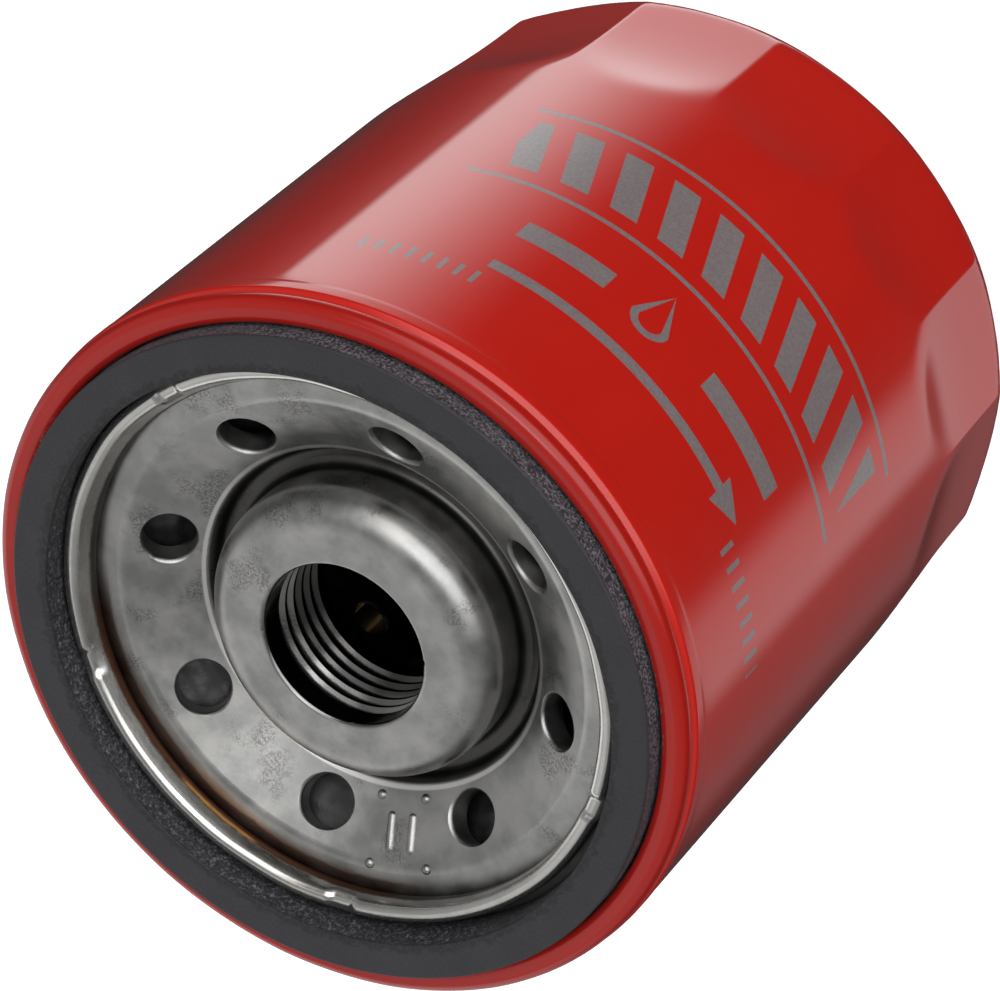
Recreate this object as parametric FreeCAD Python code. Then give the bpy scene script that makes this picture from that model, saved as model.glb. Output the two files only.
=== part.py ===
import FreeCAD, Part

import math
import os

# Spin-on engine oil filter, in millimetres.
# The origin is the centre of the gasket's sealing face. +Z leaves the threaded
# end, towards the engine. Angles are counter-clockwise from +X seen from +Z.
# An outline is a list of (radius, height) or (radius, height, corner radius).

# Driving dimensions of the can
CAN_RADIUS = 38.0
CAN_LENGTH = 87.0
SHEET = 0.5
DOME_RISE = 3.8
DOME_FLAT_RADIUS = 14.0
DOME_CORNER = 9.0

# Wrench flutes
FLUTE_COUNT = 15
FLUTE_PHASE = 16.0
FLUTE_DEPTH = 1.4
FLUTE_TOP = -56.5
FLUTE_RUNOUT = 6.0
FLUTE_RUNOUT_DEPTH = 0.4
FLUTE_RUNOUT_CORNER = 20.0
FLUTE_FOOT = 1.8
FLUTE_SLOPE = 22.0
FLUTE_REACH = 14.0

# Rolled seam at the mouth
SEAM_TOP = -1.75
SEAM_INNER_RADIUS = 35.1
SEAM_OUTER_RADIUS = 37.85
SEAM_INNER_CORNER = 0.9
SEAM_OUTER_CORNER = 1.5
SEAM_LEG_END = -4.4
SEAM_GROOVE = -3.62
GROOVE_DEPTH = 0.2
BAND_RADIUS = 38.05
BAND_TOP_CORNER = 0.3
BAND_END = -5.4
BAND_END_CORNER = 0.6
BAND_STEP = 0.4
BODY_JOIN = -12.0
HOOK_OUTER_CORNER = 0.95
HOOK_INNER_CORNER = 0.55

# Gasket
GASKET_INNER_RADIUS = 31.0
GASKET_OUTER_RADIUS = 34.9
GASKET_DEPTH = 5.0
GASKET_TOP_CORNER = 0.25
GASKET_FLOOR_CORNER = 0.6

# Base plate: the hub, the valley round it and the sloping ring with the inlets
PLATE_THICKNESS = 2.4
PLATE_RADIUS = 37.2
HUB_TOP = -4.15
HUB_RADIUS = 15.8
HUB_CORNER = 3.2
HUB_DISH_RADIUS = 11.6
HUB_DISH_DEPTH = 0.2
HUB_DISH_CORNER = 5.0
MOUTH_CORNER = 0.45
VALLEY_FLOOR = -11.9
VALLEY_INNER_CORNER = 0.9
VALLEY_OUTER_RADIUS = 17.9
VALLEY_OUTER_CORNER = 0.7
RING_EDGE_RADIUS = 18.45
RING_EDGE_HEIGHT = -9.87
RING_EDGE_CORNER = 0.5
SLOPE_RADIUS = 25.8
SLOPE_CORNER = 2.0
INLET_COUNT = 8
INLET_PHASE = 27.5
INLET_RADIUS = 2.75
INLET_CIRCLE = 21.9
INLET_ROLLOVER = 0.6
INLET_MOUTH_SLOPE = 20.0
DOT_RADIUS = 0.55
DOT_SINK = 0.22
DOT_SPREAD = 7.3
DOT_CIRCLES = (19.8, 25.75)
BAR_LENGTH = 3.2
BAR_SPACING = 2.4
BAR_RADIUS = 0.5

# Thread 3/4-16 UNF
THREAD_PITCH = 25.4 / 16
THREAD_MAJOR_RADIUS = 9.525
THREAD_MINOR_RADIUS = 8.75
COLLAR_END = -16.0
THREAD_TOP = -5.7
THREAD_BOTTOM = -14.9
THREAD_END_GAP = 0.08

# Gasket retainer lip
LIP_TOP = -2.3
LIP_RADIUS = 30.2
LIP_CORNER = 0.5
LIP_WALL_RADIUS = 28.0
LIP_FLOOR_CORNER = 0.9
CRIMP_COUNT = 5
CRIMP_PHASE = 57.0
CRIMP_WIDTH = 2.2

# Anti-drain valve
BEAD_INNER_RADIUS = 12.6
BEAD_OUTER_RADIUS = 18.6
BEAD_DEPTH = 2.5
BEAD_SHOULDER = 0.9
BEAD_SHOULDER_DROP = 0.65
VALVE_LIP_RADIUS = 29.4
VALVE_LIP_WIDTH = 1.2
VALVE_LIP_THICKNESS = 1.0

# Element
CAP_SHEET = 0.4
CAP_RIM_RADIUS = 33.6
CAP_RIM_DEPTH = 3.2
CAP_RIM_CORNER = 0.6
CAP_NECK_RADIUS = 12.0
CAP_NECK_CORNER = 0.8
CAP_NECK_DROP = 0.7
ELEMENT_LENGTH = 57.0
POTTING_DEPTH = 0.95
PLEAT_COUNT = 45
MEDIA_OUTER_RADIUS = 33.1
MEDIA_INNER_RADIUS = 16.2
PAPER = 0.5
CLIP_HALF_WIDTH = 1.5
CLIP_LEG_DEPTH = 2.6
CLIP_CLEARANCE = 0.5
TUBE_RADIUS = 15.0
TUBE_ROWS = 10
TUBE_HOLES_PER_ROW = 8
TUBE_HOLE_RADIUS = 2.0

# Bypass valve in the dome-side cap
BYPASS_WALL_RADIUS = 9.6
BYPASS_FLANGE_RADIUS = 13.5
BYPASS_DEPTH = 9.7
BYPASS_FLOOR_CORNER = 0.6
BYPASS_FLANGE_CORNER = 0.4
BYPASS_SEAT_RADIUS = 5.5
BYPASS_SEAL_RADIUS = 7.5
BYPASS_SEAL_THICKNESS = 1.0
BYPASS_POPPET_RADIUS = 8.2
POPPET_RIM_HEIGHT = 1.2
POPPET_CORNER = 0.7
BYPASS_STEM_RADIUS = 1.4
STEM_HEAD_RADIUS = 2.6
STEM_HEAD_HEIGHT = 0.7
STEM_CORNER = 0.3
STEM_RISE = 4.0
BYPASS_WIRE_RADIUS = 0.4
BYPASS_COIL_RADIUS = 4.8
BYPASS_TURNS = 4.5
KEEPER_DROP = 0.6
KEEPER_WINDOWS = 4
KEEPER_WINDOW_RADIUS = 1.5
KEEPER_WINDOW_CIRCLE = 7.0

# Hold-down spring
HOLD_WIRE_RADIUS = 0.9
HOLD_COIL_RADIUS = 13.5
HOLD_TURNS = 3.75

# Gaps: parts that rest on each other, and a stem running in its guide
REST_GAP = 0.05
RUNNING_GAP = 0.06

# Heights worked out from the above
PLATE_TOP = -(GASKET_DEPTH + SHEET)
PLATE_BOTTOM = PLATE_TOP - PLATE_THICKNESS
BEAD_TOP = VALLEY_FLOOR - PLATE_THICKNESS - REST_GAP
BEAD_BOTTOM = BEAD_TOP - BEAD_DEPTH
INLET_CAP_TOP = BEAD_BOTTOM - REST_GAP
INLET_CAP_BOTTOM = INLET_CAP_TOP - CAP_SHEET
DOME_CAP_TOP = INLET_CAP_TOP - ELEMENT_LENGTH
DOME_CAP_BOTTOM = DOME_CAP_TOP - CAP_SHEET
BYPASS_FLOOR = DOME_CAP_TOP + SHEET - BYPASS_DEPTH
AXIS = FreeCAD.Vector(0, 0, 1)


def corner_arc(before, corner, after, radius):
    """Start, middle and end of the arc that rounds one corner of an outline."""
    incoming = (before - corner).normalize()
    outgoing = (after - corner).normalize()
    half_angle = incoming.getAngle(outgoing) / 2
    reach = radius / math.tan(half_angle)
    bisector = (incoming + outgoing).normalize()
    middle = corner + bisector * (radius / math.sin(half_angle) - radius)
    return corner + incoming * reach, middle, corner + outgoing * reach


def outline_wire(outline):
    """Closed wire in the XZ plane, with the stated corners rounded."""
    corners = [FreeCAD.Vector(point[0], 0, point[1]) for point in outline]
    radii = [point[2] if len(point) > 2 else 0 for point in outline]
    edges = []
    ends = []
    for index, corner in enumerate(corners):
        if radii[index] > 0:
            after = corners[(index + 1) % len(corners)]
            start, middle, end = corner_arc(corners[index - 1], corner, after, radii[index])
            edges.append(Part.Arc(start, middle, end).toShape())
            ends.append((start, end))
        else:
            ends.append((corner, corner))
    for index, (start, _) in enumerate(ends):
        previous = ends[index - 1][1]
        if previous.distanceToPoint(start) > 1e-6:
            edges.append(Part.makeLine(previous, start))
    return Part.Wire(Part.sortEdges(edges)[0])


def revolved(outline):
    """Solid of revolution about Z."""
    face = Part.Face(outline_wire(outline))
    return face.revolve(FreeCAD.Vector(0, 0, 0), AXIS, 360)


def offset_path(path, distance):
    """The open path moved to the right of its own direction by distance."""
    points = [FreeCAD.Vector(point[0], point[1], 0) for point in path]
    normals = []
    for start, end in zip(points, points[1:]):
        along = (end - start).normalize()
        normals.append(FreeCAD.Vector(along.y, -along.x, 0))
    moved = []
    for index, point in enumerate(points):
        before = normals[max(index - 1, 0)]
        after = normals[min(index, len(normals) - 1)]
        shift = (before + after) * (distance / (1 + before.dot(after)))
        turn = before.cross(after).z
        radius = path[index][2] if len(path[index]) > 2 else 0
        if radius > 0:
            radius = max(radius + math.copysign(distance, turn), 0)
        moved.append((point.x + shift.x, point.y + shift.y, radius))
    return moved


def sheet_ring(path, thickness):
    """Sheet metal of revolution: the path is one face, the other lies to its right."""
    return revolved(path + offset_path(path, thickness)[::-1])


def turned(shape, degrees):
    """Copy of a shape turned about Z."""
    copy = shape.copy()
    copy.rotate(FreeCAD.Vector(0, 0, 0), AXIS, degrees)
    return copy


def spread(shape, count, phase=0.0):
    """Equally spaced copies of a shape round Z."""
    return [turned(shape, phase + 360.0 * index / count) for index in range(count)]


def coil_spring(coil_radius, wire_radius, bottom, top, turns):
    """Compression spring with one closed turn at each end."""
    closed_rise = 2.1 * wire_radius
    low = bottom + wire_radius
    high = top - wire_radius
    active_pitch = (high - low - 2 * closed_rise) / (turns - 2)
    steps_per_turn = 16

    def height(turn):
        if turn < 1:
            return low + closed_rise * turn
        if turn > turns - 1:
            return high - closed_rise * (turns - turn)
        return low + closed_rise + active_pitch * (turn - 1)

    points = []
    for step in range(int(turns * steps_per_turn) + 1):
        turn = step / steps_per_turn
        angle = 2 * math.pi * turn
        points.append(
            FreeCAD.Vector(
                coil_radius * math.cos(angle), coil_radius * math.sin(angle), height(turn)
            )
        )
    curve = Part.BSplineCurve()
    curve.interpolate(points)
    tangent = curve.tangent(curve.FirstParameter)[0]
    section = Part.Wire(Part.makeCircle(wire_radius, points[0], tangent))
    return Part.Wire(curve.toShape()).makePipeShell([section], True, True)


def dome_path():
    """Outside of the can from below the seam to the centre of the closed end."""
    return [
        (CAN_RADIUS, BODY_JOIN),
        (CAN_RADIUS, -CAN_LENGTH + DOME_RISE, DOME_CORNER),
        (DOME_FLAT_RADIUS, -CAN_LENGTH, DOME_CORNER),
        (0, -CAN_LENGTH),
    ]


def flute_path():
    """Middle of one wrench flute, from above its start to where it meets the dome."""
    flat = CAN_RADIUS - FLUTE_DEPTH
    foot = -CAN_LENGTH + DOME_RISE + FLUTE_FOOT
    drop = FLUTE_REACH * math.tan(math.radians(FLUTE_SLOPE))
    return [
        (CAN_RADIUS + SHEET, FLUTE_TOP),
        (flat + FLUTE_RUNOUT_DEPTH, FLUTE_TOP - FLUTE_RUNOUT, FLUTE_RUNOUT_CORNER),
        (flat, foot, DOME_CORNER - 1),
        (flat - FLUTE_REACH, foot - drop),
    ]


def fluted(surface, flute):
    """Solid inside the surface path, with the flutes cut round it."""
    solid = revolved(surface + [(0, surface[0][1])])
    outside = CAN_RADIUS + 5
    under = -CAN_LENGTH - 5
    cutter_outline = flute + [(flute[-1][0], under), (outside, under), (outside, flute[0][1])]
    face = Part.Face(outline_wire(cutter_outline))
    half_width = CAN_RADIUS / 2
    face.translate(FreeCAD.Vector(0, -half_width, 0))
    cutter = face.extrude(FreeCAD.Vector(0, 2 * half_width, 0))
    return solid.cut(spread(cutter, FLUTE_COUNT, FLUTE_PHASE))


def can_shell():
    """Drawn can: inner leg, rolled top, groove, bead, body, flutes and closed end."""
    outside = fluted(dome_path(), flute_path())
    inside = fluted(offset_path(dome_path(), SHEET), offset_path(flute_path(), SHEET))
    seam = sheet_ring(
        [
            (SEAM_INNER_RADIUS, SEAM_LEG_END),
            (SEAM_INNER_RADIUS, SEAM_TOP, SEAM_INNER_CORNER),
            (SEAM_OUTER_RADIUS, SEAM_TOP, SEAM_OUTER_CORNER),
            (SEAM_OUTER_RADIUS, SEAM_GROOVE + GROOVE_DEPTH),
            (SEAM_OUTER_RADIUS - GROOVE_DEPTH, SEAM_GROOVE),
            (BAND_RADIUS, SEAM_GROOVE - BAND_TOP_CORNER, BAND_TOP_CORNER),
            (BAND_RADIUS, BAND_END, BAND_END_CORNER),
            (CAN_RADIUS, BAND_END - BAND_STEP),
            (CAN_RADIUS, BODY_JOIN),
        ],
        SHEET,
    )
    return seam.fuse(outside.cut(inside)).removeSplitter()


def hook_end():
    """Cut edge of the lid's hook, just above the groove rolled under it."""
    return SEAM_GROOVE + 2 * GROOVE_DEPTH


def hook_inner_radius():
    """Outside of the lid's leg that rises into the seam."""
    return SEAM_INNER_RADIUS + 2.4 * SHEET


def seam_sealant():
    """Sealing compound under the seam's groove, on the base plate's rim."""
    inner = hook_inner_radius() + REST_GAP
    outer = SEAM_OUTER_RADIUS - GROOVE_DEPTH - SHEET - REST_GAP
    top = SEAM_GROOVE - 2 * GROOVE_DEPTH
    bottom = PLATE_TOP + REST_GAP
    return revolved([(inner, bottom), (outer, bottom), (outer, top), (inner, top)])


def slope_height(radius):
    """Height of the sloping ring's top at a radius."""
    fraction = (radius - RING_EDGE_RADIUS) / (SLOPE_RADIUS - RING_EDGE_RADIUS)
    return RING_EDGE_HEIGHT + fraction * (PLATE_TOP - RING_EDGE_HEIGHT)


def on_slope(radius, degrees, depth=0.0):
    """Point on the sloping ring, sunk by depth."""
    angle = math.radians(degrees)
    return FreeCAD.Vector(
        radius * math.cos(angle), radius * math.sin(angle), slope_height(radius) - depth
    )


def inlet_cutter():
    """Punch through the sloping ring, square to it, that rolls the hole's upper edge over."""
    depth = 2 * PLATE_THICKNESS
    mouth = 3 * INLET_ROLLOVER
    mouth_rise = mouth * math.tan(math.radians(INLET_MOUTH_SLOPE))
    punch = revolved(
        [
            (0, -depth),
            (INLET_RADIUS, -depth),
            (INLET_RADIUS, 0, INLET_ROLLOVER),
            (INLET_RADIUS + mouth, mouth_rise),
            (INLET_RADIUS + mouth, depth),
            (0, depth),
        ]
    )
    rise = PLATE_TOP - RING_EDGE_HEIGHT
    tilt = math.degrees(math.atan2(rise, SLOPE_RADIUS - RING_EDGE_RADIUS))
    punch.rotate(FreeCAD.Vector(0, 0, 0), FreeCAD.Vector(0, 1, 0), -tilt)
    punch.translate(on_slope(INLET_CIRCLE, 0))
    return punch


def thread_groove():
    """Helical groove of the internal thread."""
    crest_half = 3 * THREAD_PITCH / 8
    root_half = THREAD_PITCH / 16
    start = THREAD_BOTTOM + THREAD_END_GAP + crest_half
    length = THREAD_TOP - THREAD_END_GAP - crest_half - start
    overlap = 0.1
    flank = (crest_half - root_half) / (THREAD_MAJOR_RADIUS - THREAD_MINOR_RADIUS)
    mouth_half = crest_half + overlap * flank
    mouth = THREAD_MINOR_RADIUS - overlap
    section = Part.makePolygon(
        [
            FreeCAD.Vector(mouth, 0, start - mouth_half),
            FreeCAD.Vector(THREAD_MAJOR_RADIUS, 0, start - root_half),
            FreeCAD.Vector(THREAD_MAJOR_RADIUS, 0, start + root_half),
            FreeCAD.Vector(mouth, 0, start + mouth_half),
            FreeCAD.Vector(mouth, 0, start - mouth_half),
        ]
    )
    helix = Part.makeHelix(THREAD_PITCH, length, THREAD_MINOR_RADIUS)
    helix.translate(FreeCAD.Vector(0, 0, start))
    return Part.Wire(helix.Edges).makePipeShell([section], True, True)


def raised_marks():
    """Four dots round two short round-ended bars, raised on the slope between two inlets."""
    middle = INLET_PHASE + 2.5 * 360.0 / INLET_COUNT
    marks = []
    for radius in DOT_CIRCLES:
        for side in (-1, 1):
            centre = on_slope(radius, middle + side * DOT_SPREAD, DOT_SINK)
            marks.append(Part.makeSphere(DOT_RADIUS, centre))
    along = on_slope(DOT_CIRCLES[1], middle) - on_slope(DOT_CIRCLES[0], middle)
    along.normalize()
    across = FreeCAD.Vector(-math.sin(math.radians(middle)), math.cos(math.radians(middle)), 0)
    centre = on_slope(sum(DOT_CIRCLES) / 2, middle, DOT_SINK)
    for side in (-0.5, 0.5):
        start = centre + across * side * BAR_SPACING - along * BAR_LENGTH / 2
        marks.append(Part.makeCylinder(BAR_RADIUS, BAR_LENGTH, start, along))
        for end in (start, start + along * BAR_LENGTH):
            marks.append(Part.makeSphere(BAR_RADIUS, end))
    return marks


def base_plate():
    """Threaded collar, domed hub, valley, sloping ring with inlets, and flat rim."""
    plate = sheet_ring(
        [
            (THREAD_MINOR_RADIUS, COLLAR_END),
            (THREAD_MINOR_RADIUS, THREAD_BOTTOM),
            (THREAD_MINOR_RADIUS, THREAD_TOP),
            (THREAD_MINOR_RADIUS, HUB_TOP, MOUTH_CORNER),
            (HUB_DISH_RADIUS, HUB_TOP - HUB_DISH_DEPTH, HUB_DISH_CORNER),
            (HUB_RADIUS, HUB_TOP, HUB_CORNER),
            (HUB_RADIUS, VALLEY_FLOOR, VALLEY_INNER_CORNER),
            (VALLEY_OUTER_RADIUS, VALLEY_FLOOR, VALLEY_OUTER_CORNER),
            (RING_EDGE_RADIUS, RING_EDGE_HEIGHT, RING_EDGE_CORNER),
            (SLOPE_RADIUS, PLATE_TOP, SLOPE_CORNER),
            (PLATE_RADIUS, PLATE_TOP),
        ],
        PLATE_THICKNESS,
    )
    plate = plate.cut(thread_groove())
    plate = plate.cut(spread(inlet_cutter(), INLET_COUNT, INLET_PHASE))
    return plate.fuse(raised_marks())


def gasket_retainer():
    """Seaming lid: lip, channel wall, channel floor and the hook inside the seam."""
    leg = hook_inner_radius() - SHEET
    hook_outer = leg + 3 * SHEET
    hook_top = SEAM_TOP - 1.2 * SHEET
    wall = LIP_WALL_RADIUS + SHEET
    lip_underside = LIP_TOP - SHEET
    hook = [
        (hook_outer, hook_end()),
        (hook_outer, hook_top, HOOK_OUTER_CORNER),
        (leg, hook_top, HOOK_INNER_CORNER),
        (leg, -GASKET_DEPTH, SHEET),
    ]
    channel = [
        (wall, -GASKET_DEPTH, LIP_FLOOR_CORNER),
        (wall, lip_underside, LIP_CORNER),
        (LIP_RADIUS, lip_underside),
    ]
    path = (hook + channel)[::-1]
    ring = sheet_ring(path, SHEET)
    reach = GASKET_INNER_RADIUS - REST_GAP - wall
    corner = FreeCAD.Vector(wall, -CRIMP_WIDTH / 2, lip_underside)
    tab = Part.makeBox(reach, CRIMP_WIDTH, SHEET, corner)
    return ring.fuse(spread(tab, CRIMP_COUNT, CRIMP_PHASE)).removeSplitter()


def sealing_gasket():
    """Square-section ring standing proud of the seam."""
    floor = -GASKET_DEPTH + REST_GAP
    return revolved(
        [
            (GASKET_INNER_RADIUS, floor),
            (GASKET_OUTER_RADIUS, floor, GASKET_FLOOR_CORNER),
            (GASKET_OUTER_RADIUS, 0, GASKET_TOP_CORNER),
            (GASKET_INNER_RADIUS, 0, GASKET_TOP_CORNER),
        ]
    )


def antidrain_valve():
    """Rubber cone: a thick bead under the valley and a thin lip against the plate."""
    lip_top = PLATE_BOTTOM - REST_GAP
    return revolved(
        [
            (BEAD_INNER_RADIUS, BEAD_BOTTOM),
            (BEAD_INNER_RADIUS, BEAD_TOP),
            (BEAD_OUTER_RADIUS, BEAD_TOP),
            (BEAD_OUTER_RADIUS + BEAD_SHOULDER, BEAD_TOP - BEAD_SHOULDER_DROP),
            (VALVE_LIP_RADIUS - VALVE_LIP_WIDTH, lip_top),
            (VALVE_LIP_RADIUS, lip_top),
            (VALVE_LIP_RADIUS, lip_top - VALVE_LIP_THICKNESS),
            (BEAD_OUTER_RADIUS + BEAD_SHOULDER / 2, BEAD_BOTTOM),
        ]
    )


def inlet_end_cap():
    """Thread-side cap: neck round the collar, disc and turned-down rim."""
    path = [
        (CAP_RIM_RADIUS, INLET_CAP_BOTTOM - CAP_RIM_DEPTH),
        (CAP_RIM_RADIUS, INLET_CAP_BOTTOM, CAP_RIM_CORNER),
        (CAP_NECK_RADIUS, INLET_CAP_BOTTOM, CAP_NECK_CORNER),
        (CAP_NECK_RADIUS, BEAD_TOP - CAP_NECK_DROP),
    ]
    return sheet_ring(path, CAP_SHEET)


def dome_end_cap():
    """Dome-side cap: disc with a central hole and a turned-up rim."""
    path = [
        (BYPASS_WALL_RADIUS + 4 * REST_GAP, DOME_CAP_TOP),
        (CAP_RIM_RADIUS, DOME_CAP_TOP, CAP_RIM_CORNER),
        (CAP_RIM_RADIUS, DOME_CAP_TOP + CAP_RIM_DEPTH),
    ]
    return sheet_ring(path, CAP_SHEET)


def potting(top, bottom):
    """Disc of potting compound between a cap and the end of the pleats."""
    inner = TUBE_RADIUS + REST_GAP * 4
    outer = CAP_RIM_RADIUS - REST_GAP * 4
    edge = 0.47 * POTTING_DEPTH
    return revolved([(inner, bottom), (outer, bottom, edge), (outer, top, edge), (inner, top)])


def star(outer_radius, inner_radius, tip_half, valley_half):
    """Closed star outline: one flat tip and one flat valley per pleat."""
    points = []
    half_step = math.pi / PLEAT_COUNT
    for index in range(PLEAT_COUNT):
        tip = 2 * half_step * index
        for radius, angle, half in (
            (outer_radius, tip, tip_half),
            (inner_radius, tip + half_step, valley_half),
        ):
            for side in (-1, 1):
                bearing = angle + side * half / radius
                points.append(
                    FreeCAD.Vector(radius * math.cos(bearing), radius * math.sin(bearing), 0)
                )
    return Part.makePolygon(points + points[:1])


def filter_media():
    """Pleated paper as one continuous zigzag band."""
    outside = star(MEDIA_OUTER_RADIUS, MEDIA_INNER_RADIUS + PAPER, 1.3 * PAPER, 0.3 * PAPER)
    inside = star(MEDIA_OUTER_RADIUS - PAPER, MEDIA_INNER_RADIUS, 0.4 * PAPER, 1.2 * PAPER)
    bottom = DOME_CAP_TOP + POTTING_DEPTH + REST_GAP
    top = INLET_CAP_BOTTOM - POTTING_DEPTH - REST_GAP
    band = Part.Face(outside).cut(Part.Face(inside)).extrude(AXIS * (top - bottom))
    band.translate(AXIS * bottom)
    return band


def media_clip():
    """Folded steel strip over the pleat where the paper's two ends meet."""
    inner = CAP_RIM_RADIUS - REST_GAP - CLIP_LEG_DEPTH
    bottom = DOME_CAP_TOP + CAP_RIM_DEPTH + CLIP_CLEARANCE
    height = INLET_CAP_BOTTOM - CAP_RIM_DEPTH - CLIP_CLEARANCE - bottom
    gap = CLIP_HALF_WIDTH - CAP_SHEET
    strip_corner = FreeCAD.Vector(inner, -CLIP_HALF_WIDTH, bottom)
    strip = Part.makeBox(CLIP_LEG_DEPTH, 2 * CLIP_HALF_WIDTH, height, strip_corner)
    channel_corner = FreeCAD.Vector(inner - CAP_SHEET, -gap, bottom)
    channel = Part.makeBox(CLIP_LEG_DEPTH, 2 * gap, height, channel_corner)
    return strip.cut(channel)


def center_tube():
    """Perforated tube that carries the pleats."""
    top = INLET_CAP_BOTTOM - REST_GAP
    bottom = DOME_CAP_TOP + REST_GAP
    height = top - bottom
    base = FreeCAD.Vector(0, 0, bottom)
    tube = Part.makeCylinder(TUBE_RADIUS, height, base)
    tube = tube.cut(Part.makeCylinder(TUBE_RADIUS - SHEET, height, base))
    row_step = height / TUBE_ROWS
    hole_step = 360.0 / TUBE_HOLES_PER_ROW
    drills = []
    for row in range(TUBE_ROWS):
        level = bottom + row_step * (row + 0.5)
        drill = Part.makeCylinder(
            TUBE_HOLE_RADIUS,
            2 * TUBE_RADIUS + 2,
            FreeCAD.Vector(-TUBE_RADIUS - 1, 0, level),
            FreeCAD.Vector(1, 0, 0),
        )
        phase = hole_step / 2 * (row % 2)
        for index in range(TUBE_HOLES_PER_ROW // 2):
            drills.append(turned(drill, phase + hole_step * index))
    return tube.cut(drills)


def bypass_housing():
    """Cup hung in the dome-side cap, its floor pierced by the valve seat."""
    wall = BYPASS_WALL_RADIUS - SHEET
    flange = DOME_CAP_TOP + SHEET + REST_GAP
    path = [
        (BYPASS_SEAT_RADIUS, BYPASS_FLOOR),
        (wall, BYPASS_FLOOR, BYPASS_FLOOR_CORNER),
        (wall, flange, BYPASS_FLANGE_CORNER),
        (BYPASS_FLANGE_RADIUS, flange),
    ]
    return sheet_ring(path, SHEET)


def bypass_seal():
    """Rubber washer that closes the seat."""
    bottom = BYPASS_FLOOR + REST_GAP
    top = bottom + BYPASS_SEAL_THICKNESS
    inner = BYPASS_STEM_RADIUS + REST_GAP
    outer = BYPASS_SEAL_RADIUS
    return revolved([(inner, bottom), (outer, bottom), (outer, top), (inner, top)])


def poppet_bottom():
    """Underside of the poppet plate, resting on the washer."""
    return BYPASS_FLOOR + BYPASS_SEAL_THICKNESS + 2 * REST_GAP


def bypass_poppet():
    """Pressed plate over the washer, its rim turned up to centre the spring."""
    bottom = poppet_bottom()
    path = [
        (BYPASS_POPPET_RADIUS, bottom + SHEET + POPPET_RIM_HEIGHT),
        (BYPASS_POPPET_RADIUS, bottom, POPPET_CORNER),
        (BYPASS_STEM_RADIUS + REST_GAP, bottom),
    ]
    return sheet_ring(path, SHEET)


def keeper_height():
    """Underside of the spring keeper."""
    return DOME_CAP_TOP - KEEPER_DROP


def bypass_stem():
    """Rivet through washer and poppet, running up through the keeper."""
    shoulder = BYPASS_FLOOR
    bottom = shoulder - STEM_HEAD_HEIGHT
    top = keeper_height() + STEM_RISE
    return revolved(
        [
            (0, bottom),
            (STEM_HEAD_RADIUS, bottom, STEM_CORNER),
            (STEM_HEAD_RADIUS, shoulder),
            (BYPASS_STEM_RADIUS, shoulder),
            (BYPASS_STEM_RADIUS, top, STEM_CORNER),
            (0, top),
        ]
    )


def bypass_keeper():
    """Pierced disc held in the mouth of the cup."""
    base = FreeCAD.Vector(0, 0, keeper_height())
    disc = Part.makeCylinder(BYPASS_WALL_RADIUS - SHEET - REST_GAP, SHEET, base)
    guide = Part.makeCylinder(BYPASS_STEM_RADIUS + RUNNING_GAP, SHEET, base)
    beside = base + FreeCAD.Vector(KEEPER_WINDOW_CIRCLE, 0, 0)
    window = Part.makeCylinder(KEEPER_WINDOW_RADIUS, SHEET, beside)
    return disc.cut([guide] + spread(window, KEEPER_WINDOWS))


def bypass_spring():
    """Light spring that holds the poppet shut."""
    bottom = poppet_bottom() + SHEET + REST_GAP
    top = keeper_height() - REST_GAP
    return coil_spring(BYPASS_COIL_RADIUS, BYPASS_WIRE_RADIUS, bottom, top, BYPASS_TURNS)


def hold_down_spring():
    """Spring that holds the element against the anti-drain valve."""
    bottom = -CAN_LENGTH + SHEET + 2 * REST_GAP
    top = DOME_CAP_BOTTOM - REST_GAP
    return coil_spring(HOLD_COIL_RADIUS, HOLD_WIRE_RADIUS, bottom, top, HOLD_TURNS)


def main():
    inlet_end = INLET_CAP_BOTTOM - REST_GAP / 2
    dome_end = DOME_CAP_TOP + REST_GAP / 2
    parts = {
        "can_shell": can_shell(),
        "seam_sealant": seam_sealant(),
        "base_plate": base_plate(),
        "gasket_retainer": gasket_retainer(),
        "sealing_gasket": sealing_gasket(),
        "antidrain_valve": antidrain_valve(),
        "inlet_end_cap": inlet_end_cap(),
        "dome_end_cap": dome_end_cap(),
        "inlet_potting": potting(inlet_end, inlet_end - POTTING_DEPTH),
        "dome_potting": potting(dome_end + POTTING_DEPTH, dome_end),
        "filter_media": filter_media(),
        "media_clip": media_clip(),
        "center_tube": center_tube(),
        "bypass_housing": bypass_housing(),
        "bypass_seal": bypass_seal(),
        "bypass_poppet": bypass_poppet(),
        "bypass_stem": bypass_stem(),
        "bypass_keeper": bypass_keeper(),
        "bypass_spring": bypass_spring(),
        "hold_down_spring": hold_down_spring(),
    }
    os.makedirs("parts", exist_ok=True)
    for node, shape in parts.items():
        shape.exportStep(f"parts/{node}.step")
        print(node, shape.isValid(), len(shape.Solids), round(shape.Volume, 1))


main()
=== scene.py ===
import math

import bmesh
import bpy
import numpy as np
from mathutils import Matrix, Vector


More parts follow.
